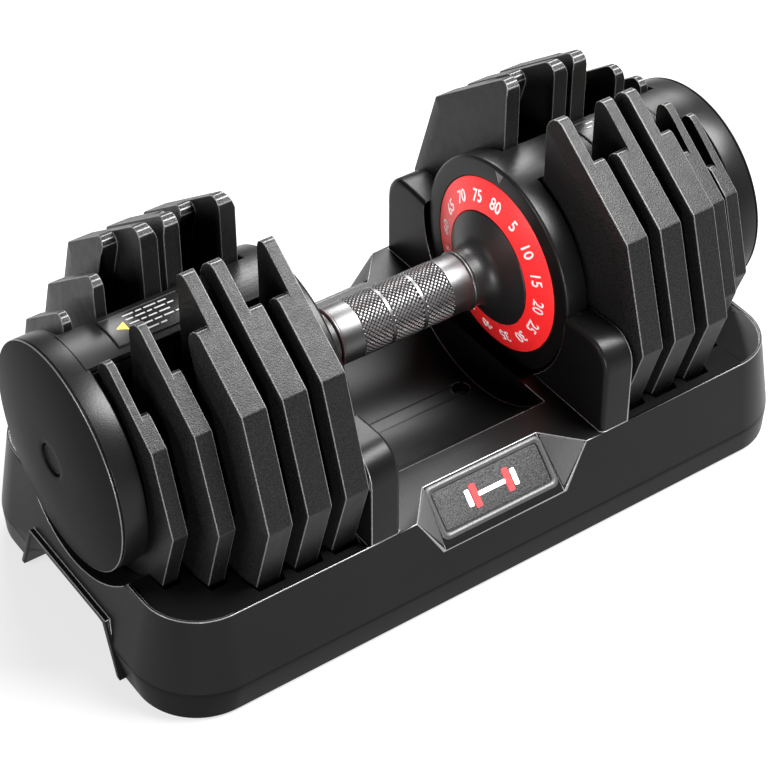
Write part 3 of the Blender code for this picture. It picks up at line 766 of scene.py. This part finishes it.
def label_plate(side, sign):
    """Curved plain label on the spine, with a fine raised border."""
    low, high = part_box("label_panel_right")
    half = math.asin(high.y / FLANGE_R)
    rings = []
    border = 1.2 * MM
    steps = 12
    levels = (
        (0.0, 0.25 * MM), (0.0, 0.8 * MM), (border * 0.4, 0.95 * MM),
        (border * 0.8, 0.95 * MM), (border, 0.6 * MM),
    )
    for inset, rise in levels:
        x0, x1 = low.x + inset, high.x - inset
        a = half - inset / FLANGE_R
        ring = []
        for i in range(steps + 1):
            t = -a + 2 * a * i / steps
            ring.append((x0, t))
        for i in range(steps + 1):
            t = a - 2 * a * i / steps
            ring.append((x1, t))
        r = FLANGE_R + rise
        rings.append([(sign * x, r * math.sin(t), AXIS_Z + r * math.cos(t)) for x, t in ring])
    points, faces = lofted(rings)
    # The end faces are strips across the curve, so that they follow it.
    faces = faces[:-2]
    count = 2 * (steps + 1)
    for start in (0, (len(rings) - 1) * count):
        for i in range(steps):
            j = 2 * steps + 1 - i
            faces.append((start + i, start + i + 1, start + j - 1, start + j))
    piece(
        f"label_plate_{side}", points, faces, label_black, "dumbbell",
        [f"label_panel_{side}"],
    )


def label_notice(side, sign):
    """Plain notice with no wording: a triangle and rows of short bars."""
    low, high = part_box("label_panel_right")
    r = FLANGE_R + 0.68 * MM

    def plate(outline):
        """A thin solid on the curved label. The outline is (x from the middle, y), in mm."""
        points = []
        for rise in (-0.12 * MM, 0.1 * MM):
            for x, y in outline:
                t = y * MM / r
                at = sign * ((low.x + high.x) / 2 + x * MM)
                points.append((at, (r + rise) * math.sin(t), AXIS_Z + (r + rise) * math.cos(t)))
        n = len(outline)
        faces = [tuple(range(n))[::-1], tuple(range(n, 2 * n))]
        faces += [(i, (i + 1) % n, n + (i + 1) % n, n + i) for i in range(n)]
        return points, faces

    def joined(name, outlines, look):
        """One piece of many thin solids."""
        points, faces = [], []
        for some_points, some_faces in map(plate, outlines):
            start = len(points)
            points += some_points
            faces += [tuple(start + i for i in face) for face in some_faces]
        piece(name, points, faces, look, "dumbbell", smooth_angle=5.0)

    # Each number is the length of a bar, in units of 0.72 mm.
    rows = ((9, 5, 10, 7), (6, 8, 4, 9, 5), (8, 4, 7, 9), (5, 9, 6, 8, 4), (7, 9, 5))
    unit, gap, half, pitch = 0.72, 1.4, 0.5, 4.0
    bars = []
    for row, lengths in enumerate(rows):
        y = 8.0 - pitch * row
        at = -11.0
        for units in lengths:
            end = at + units * unit
            bars.append([(-at, y - half), (-end, y - half), (-end, y + half), (-at, y + half)])
            at = end + gap
    joined(f"label_rows_{side}", bars, ink_grey)
    triangle = [(13.2, -3.4), (13.2, 3.4), (18.8, 0.0)]
    joined(f"label_triangle_{side}", [triangle], sign_yellow)


def pointer(side, sign):
    """Raised triangle on the flange over the dial, pointing at the chosen number."""
    base_r, tip_r, half = 65.0 * MM, 57.6 * MM, 3.6 * MM
    outline = ((-half, base_r), (half, base_r), (0.0, tip_r))
    points = [(sign * FACE, y, AXIS_Z + z) for y, z in outline]
    middle = (base_r + base_r + tip_r) / 3
    points.append((sign * (FACE - 0.7 * MM), 0.0, AXIS_Z + middle))
    points.append((sign * (FACE + 0.3 * MM), 0.0, AXIS_Z + middle))
    faces = [(0, 1, 3), (1, 2, 3), (2, 0, 3), (1, 0, 4), (2, 1, 4), (0, 2, 4)]
    piece(
        f"dial_pointer_{side}", points, faces, mark_grey, "dumbbell",
        smooth_angle=5.0,
    )


for side, sign in SIDES:
    head_housing(side, sign)
    end_cap(side, sign)
    cap_plug(side, sign)
    label_plate(side, sign)
    label_notice(side, sign)
    pointer(side, sign)


# ---------------------------------------------------------------- handle

NUMBERS = 16
STEP = 2 * math.pi / NUMBERS
# The dial rests a little past the pointer.
DIAL_REST = math.radians(2.0)


def collar(side, sign):
    """Neck that flares in one curve to the hub disc inside the dial."""
    x0, x1 = COLLAR_X
    neck = 17.4 * MM
    bore = AXLE_R + 0.3 * MM
    face = RING_X[0]
    profile = [(x0, bore), (x0, neck - 0.6 * MM), (x0 + 0.6 * MM, neck)]
    start, bend, lean = 51.0 * MM, 11.0 * MM, math.radians(68)
    for i in range(17):
        a = lean * i / 16
        profile.append((start + bend * math.sin(a), neck + bend * (1 - math.cos(a))))
    # From the bend the disc runs on as a shallow cone to its rounded edge.
    profile += [(face - 0.25 * MM, HUB_R - 0.7 * MM), (face + 0.05 * MM, HUB_R - 0.25 * MM)]
    profile += [(face + 0.5 * MM, HUB_R), (x1, HUB_R), (x1, bore)]
    points, faces = turned_shape(profile, sign)
    piece(
        f"grip_collar_{side}", points, faces, collar_black, "handle",
        [f"collar_{side}"],
    )


def dial(side, sign):
    """Red ring whose face is a shallow cone."""
    x0, x1 = RING_X
    inner = HUB_R + 0.3 * MM
    profile = [
        (x0 + 0.3 * MM, inner + 0.4 * MM), (FACE - 0.3 * MM, RING_R - 0.5 * MM),
        (FACE + 0.1 * MM, RING_R), (x1, RING_R), (x1, inner), (x0 + 0.6 * MM, inner),
    ]
    points, faces = turned_shape(profile, sign, 192)
    piece(
        f"dial_{side}", points, faces, dial_red, "handle",
        [f"dial_ring_{side}"],
    )


def number_shape(text, size):
    """One number as a thin solid, centred on the origin and facing +Z."""
    curve = bpy.data.curves.new("number", "FONT")
    curve.body = text
    curve.size = size
    curve.align_x = "CENTER"
    curve.extrude = 0.06 * MM
    curve.bevel_depth = size * 0.022
    curve.bevel_resolution = 0
    curve.resolution_u = 6
    obj = bpy.data.objects.new("number", curve)
    bpy.context.scene.collection.objects.link(obj)
    bpy.context.view_layer.update()
    graph = bpy.context.evaluated_depsgraph_get()
    mesh = bpy.data.meshes.new_from_object(obj.evaluated_get(graph))
    bpy.data.objects.remove(obj)
    co = np.array([v.co for v in mesh.vertices])
    middle = (co.min(0) + co.max(0)) / 2
    mesh.transform(Matrix.Translation(-Vector(middle)))
    return mesh


def dial_numbers(side, sign):
    """White numbers round the dial: the heaviest at the top, then the lightest towards the front."""
    work = bmesh.new()
    for k in range(NUMBERS):
        weight = 5 * k if k else 5 * NUMBERS
        mesh = number_shape(str(weight), 10.6 * MM)
        # From the top, towards the front (-Y) as k rises.
        turn = k * STEP + DIAL_REST
        spoke = Vector((0.0, -math.sin(turn), math.cos(turn)))
        along = Vector((sign, 0.0, 0.0))
        # The face of the dial is a shallow cone, and the numbers lie on it.
        rise = (FACE - RING_X[0]) / (RING_R - HUB_R)
        up = (spoke + along * rise).normalized()
        out = (spoke * rise - along).normalized()
        right = up.cross(out)
        middle_r = (HUB_R + RING_R) / 2 - 0.6 * MM
        place = along * (RING_X[0] + rise * (middle_r - HUB_R)) + spoke * middle_r - out * 0.12 * MM
        place.z += AXIS_Z
        narrow = 0.9
        matrix = Matrix((
            (right.x * narrow, up.x, out.x, place.x),
            (right.y * narrow, up.y, out.y, place.y),
            (right.z * narrow, up.z, out.z, place.z),
            (0, 0, 0, 1),
        ))
        mesh.transform(matrix)
        work.from_mesh(mesh)
        bpy.data.meshes.remove(mesh)
    bmesh.ops.remove_doubles(work, verts=work.verts, dist=1e-7)
    points = [v.co.copy() for v in work.verts]
    work.verts.index_update()
    faces = [tuple(v.index for v in f.verts) for f in work.faces]
    work.free()
    piece(
        f"dial_numbers_{side}", points, faces, ink_white, "handle", smooth_angle=30.0
    )


GRIP_R = 17.5 * MM
KNURL_AROUND = 38
KNURL_CUTS = 6
KNURL_DEPTH = 0.5 * MM
BAND_EDGES = (10.0 * MM, 12.2 * MM, 31.0 * MM)
BANDS = (
    (-BAND_EDGES[2], -BAND_EDGES[1]), (-BAND_EDGES[0], BAND_EDGES[0]), (BAND_EDGES[1], BAND_EDGES[2]),
)


def knurled_band(index, band):
    """Diamond knurl as real pyramids: two families of grooves crossing round the grip."""
    pitch = 2 * math.pi * GRIP_R / KNURL_AROUND
    around = KNURL_AROUND * KNURL_CUTS
    rows = int(round((band[1] - band[0]) / (pitch / KNURL_CUTS)))
    xs = [band[0] + (band[1] - band[0]) * i / rows for i in range(rows + 1)]
    points, faces = [], []

    def ring(x, radii):
        for i, r in enumerate(radii):
            a = 2 * math.pi * i / around
            points.append((x, r * math.cos(a), AXIS_Z + r * math.sin(a)))

    bottom = GRIP_R - 1.2 * MM
    ring(xs[0], [bottom] * around)
    for k, x in enumerate(xs):
        radii = []
        for i in range(around):
            u, v = i / KNURL_CUTS, k / KNURL_CUTS
            first = 1 - abs(2 * ((u + v) % 1) - 1)
            second = 1 - abs(2 * ((u - v) % 1) - 1)
            height = min(first, second) * 1.6
            radii.append(GRIP_R - KNURL_DEPTH * 0.55 + KNURL_DEPTH * min(height, 1.0))
        if k in (0, rows):
            radii = [GRIP_R - 0.1 * MM] * around
        ring(x, radii)
    ring(xs[-1], [bottom] * around)
    count = rows + 3
    for k in range(count):
        for i in range(around):
            j = (i + 1) % around
            a, b = k * around, ((k + 1) % count) * around
            quad = (a + i, a + j, b + j, b + i)
            # The diagonal alternates so that it follows the grooves.
            if (i + k) % 2:
                faces += [(quad[0], quad[1], quad[2]), (quad[0], quad[2], quad[3])]
            else:
                faces += [(quad[0], quad[1], quad[3]), (quad[1], quad[2], quad[3])]
    band_piece = piece(
        f"grip_knurl_{index}", points, faces, [knurl_chrome, groove_painted_shade], "handle",
        smooth_angle=12.0,
    )
    # The bottoms of the grooves are painted near black, a painted shade in the knurl.
    low = GRIP_R - KNURL_DEPTH * 0.22
    co = np.array([v.co for v in band_piece.data.vertices])
    radius = np.hypot(co[:, 1], co[:, 2] - AXIS_Z)
    for polygon in band_piece.data.polygons:
        if radius[list(polygon.vertices)].mean() < low:
            polygon.material_index = 1


def grip():
    """Chrome tube with rolled ends, grooves at the knurled bands and smooth rings between them."""
    end = GRIP_HALF
    bore = AXLE_R + 0.3 * MM
    lip = 18.45 * MM
    half = [(end, bore), (end, GRIP_R - 0.2 * MM)]
    for i in range(9):
        a = math.pi * i / 8
        r = GRIP_R + 0.05 * MM + (lip - GRIP_R) * math.sin(a)
        half.append((end - 1.1 * MM + 1.0 * MM * math.cos(a), r))
    half += [(end - 2.3 * MM, GRIP_R - 0.15 * MM), (end - 2.9 * MM, GRIP_R)]
    inner = GRIP_R - 0.8 * MM
    soft = 0.15 * MM
    for low, high in ((BAND_EDGES[1], BAND_EDGES[2]), (-BAND_EDGES[0], BAND_EDGES[0])):
        half += [(high + soft, GRIP_R), (high, GRIP_R - soft), (high, inner)]
        if low > 0:
            half += [(low, inner), (low, GRIP_R - soft), (low - soft, GRIP_R)]
    whole = half + [(-x, r) for x, r in reversed(half)]
    points, faces = turned_shape(whole)
    piece(
        "grip_tube", points, faces, grip_chrome, "handle", ["grip"], smooth_angle=40.0
    )


grip()
for index, band in enumerate(BANDS, 1):
    knurled_band(index, band)
for side, sign in SIDES:
    collar(side, sign)
    dial(side, sign)
    dial_numbers(side, sign)


# ---------------------------------------------------------------- badges


class BadgeSlope:
    """The plane of one badge, read from its bezel: x along the tray, s down the slope, h out of it."""

    def __init__(self, end, sign):
        low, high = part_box(f"badge_bezel_{end}")
        near, far = sorted((abs(low.y), abs(high.y)))
        self.down = Vector((0.0, sign * (far - near), low.z - high.z)).normalized()
        out = Vector((0.0, sign * -self.down.z, sign * self.down.y))
        self.out = out if out.z > 0 else -out
        centre = Vector((0.0, sign * (near + far) / 2, (low.z + high.z) / 2))
        corners = [v.co - centre for v in nodes[f"badge_bezel_{end}"].data.vertices]
        reach = [c.dot(self.down) for c in corners]
        stand = [c.dot(self.out) for c in corners]
        self.half_x = high.x
        self.half_s = (max(reach) - min(reach)) / 2
        self.centre = centre + self.down * ((max(reach) + min(reach)) / 2)
        self.back, self.face = min(stand), max(stand)

    def place(self, outline, height):
        """Puts an (x, s) outline on the slope, at a height out of it."""
        raised = self.centre + self.out * height
        return [raised + Vector((x, 0, 0)) + self.down * s for x, s in outline]

    def ring(self, inset, radius, height):
        """Rounded rectangle that much inside the bezel's outline."""
        outline = rounded_rectangle(self.half_x - inset, self.half_s - inset, radius, 6)
        return self.place(outline, height)


def badge_frame(end, slope):
    """Bezel with a rounded raised rim."""
    start, width, rise = -1.7 * MM, 4.0 * MM, 1.7 * MM
    rings = [slope.ring(-1.8 * MM, 3.6 * MM, h) for h in (slope.back, slope.face - 1.2 * MM)]
    for i in range(7):
        a = math.pi * i / 6
        at = start + width / 2 * (1 - math.cos(a))
        height = slope.face - 1.1 * MM + rise * math.sin(a)
        rings.append(slope.ring(at, 3.4 * MM - at * 0.5, height))
    rings.append(slope.ring(2.35 * MM, 1.6 * MM, slope.face - 1.2 * MM))
    rings.append(slope.ring(2.4 * MM, 1.4 * MM, slope.face - 1.5 * MM))
    points, faces = lofted(rings)
    piece(
        f"badge_frame_{end}", points, faces, frame_grey, "tray",
        [f"badge_bezel_{end}", f"badge_panel_{end}"],
    )


def badge_plate(end, slope):
    """Plain panel on the floor of the frame."""
    floor_h = slope.face - 1.5 * MM
    levels = ((2.8, 1.3, 0.02), (2.8, 1.3, 0.5), (3.1, 1.1, 0.7))
    rings = [slope.ring(inset * MM, r * MM, floor_h + h * MM) for inset, r, h in levels]
    points, faces = lofted(rings)
    piece(f"badge_plate_{end}", points, faces, panel_black, "tray")


def badge_sign(end, slope):
    """Generic pictogram: a bar with two discs at each end."""
    level = slope.face - 0.9 * MM
    bar, inner, outer = (0.0, 9.5, 1.3), (11.5, 2.0, 7.0), (16.0, 1.6, 5.0)
    for label, look, shapes in (
        ("light", ink_white, (bar, (-outer[0], *outer[1:]), outer)),
        ("bright", dial_red, ((-inner[0], *inner[1:]), inner)),
    ):
        points, faces = [], []
        for at, half_w, half_h in shapes:
            soft = min(half_w, half_h) * 0.5 * MM
            outline = rounded_rectangle(half_w * MM, half_h * MM, soft, 3)
            outline = [(at * MM + x, s) for x, s in outline]
            some_points, some_faces = lofted([slope.place(outline, h) for h in (level, level + 0.35 * MM)])
            faces += [tuple(len(points) + i for i in face) for face in some_faces]
            points += some_points
        piece(f"badge_sign_{label}_{end}", points, faces, look, "tray")


def cheeks(end, sign):
    """Grained triangular cheeks on both sides of the badge recess."""
    for mirror, label in ((-1, "left"), (1, "right")):
        corners = ((40.2, 86.4, -53.1), (59.0, 106.6, -53.1), (42.2, 109.6, -77.4))
        flat = [Vector((mirror * x * MM, sign * y * MM, AXIS_Z + z * MM)) for x, y, z in corners]
        out = (flat[1] - flat[0]).cross(flat[2] - flat[0]).normalized()
        out = out if out.z > 0 else -out
        centre = sum(flat, Vector()) / 3
        rings = []
        for shrink, height in ((1.0, -0.6), (1.0, 0.15), (0.97, 0.4)):
            ring = [centre + (c - centre) * shrink for c in flat]
            soft = []
            for i, corner in enumerate(ring):
                for other in (ring[i - 1], ring[(i + 1) % 3]):
                    soft.append(corner + (other - corner).normalized() * 1.2 * MM)
            rings.append([tuple(c + out * height * MM) for c in soft])
        points, faces = lofted(rings)
        piece(f"badge_cheek_{end}_{label}", points, faces, cheek_grey, "tray")


for end, sign in ENDS:
    slope = BadgeSlope(end, sign)
    badge_frame(end, slope)
    badge_plate(end, slope)
    badge_sign(end, slope)
    cheeks(end, sign)


# ---------------------------------------------------------------- floor, light and camera


def floor():
    """Plain pale floor."""
    made = Nodes("floor_white")
    color = made.ramp(made.noise(3.0), ((0.3, grey(0.14)), (0.7, grey(0.15))))
    made.link(color, made.shader.inputs["Base Color"])
    made.set(Roughness=0.8, Emission_Color=(1, 1, 1, 1), Emission_Strength=0.68)
    size = 6.0
    corners = [(x * size, y * size, 0) for x, y in ((-1, -1), (1, -1), (1, 1), (-1, 1))]
    mesh = bpy.data.meshes.new("floor")
    mesh.from_pydata(corners, [], [(0, 1, 2, 3)])
    mesh.materials.append(made.material)
    obj = bpy.data.objects.new("floor", mesh)
    bpy.context.scene.collection.objects.link(obj)


def area_light(name, at, target, size, power, size_y=None):
    data = bpy.data.lights.new(name, "AREA")
    data.energy = power
    data.shape = "RECTANGLE"
    data.size = size
    data.size_y = size_y or size
    obj = bpy.data.objects.new(name, data)
    bpy.context.scene.collection.objects.link(obj)
    obj.location = at
    obj.rotation_euler = (Vector(target) - Vector(at)).to_track_quat("-Z", "Y").to_euler()


def lighting():
    """Soft studio light: a big softbox over the front right, and weaker ones left, behind and low."""
    world = bpy.data.worlds.new("studio")
    bpy.context.scene.world = world
    world.use_nodes = True
    back = world.node_tree.nodes["Background"]
    back.inputs["Color"].default_value = (1, 1, 1, 1)
    back.inputs["Strength"].default_value = 0.10
    middle = (0.0, 0.0, 0.1)
    area_light("top_softbox", (0.60, -0.40, 1.40), middle, 0.75, 98.0)
    area_light("left_softbox", (-1.6, 0.1, 0.75), middle, 0.8, 24.0, 0.5)
    area_light("back_softbox", (0.62, 0.95, 1.05), middle, 0.8, 34.0, 0.5)
    area_light("front_strip", (-0.80, -1.10, 0.22), middle, 0.10, 14.0, 0.4)


CAMERA_AZIMUTH, CAMERA_ELEVATION = math.radians(-34.939), math.radians(40.787)
CAMERA_DISTANCE = 1.3958
CAMERA_TARGET = Vector((0.01534, 0.03164, 0.03577))
SENSOR = 36.0
FOCAL_PER_FRAME = 2.98540


def camera():
    """Camera at the viewing angle of the reference, looking at the middle of the object."""
    back = Vector((
        math.sin(CAMERA_AZIMUTH) * math.cos(CAMERA_ELEVATION),
        -math.cos(CAMERA_AZIMUTH) * math.cos(CAMERA_ELEVATION),
        math.sin(CAMERA_ELEVATION),
    ))
    data = bpy.data.cameras.new("camera")
    data.sensor_width = SENSOR
    data.lens = SENSOR * FOCAL_PER_FRAME
    data.clip_end = 50.0
    obj = bpy.data.objects.new("camera", data)
    bpy.context.scene.collection.objects.link(obj)
    obj.location = CAMERA_TARGET + back * CAMERA_DISTANCE
    obj.rotation_euler = (-back).to_track_quat("-Z", "Y").to_euler()
    bpy.context.scene.camera = obj


floor()
lighting()
camera()
bpy.context.scene.view_settings.view_transform = "Standard"
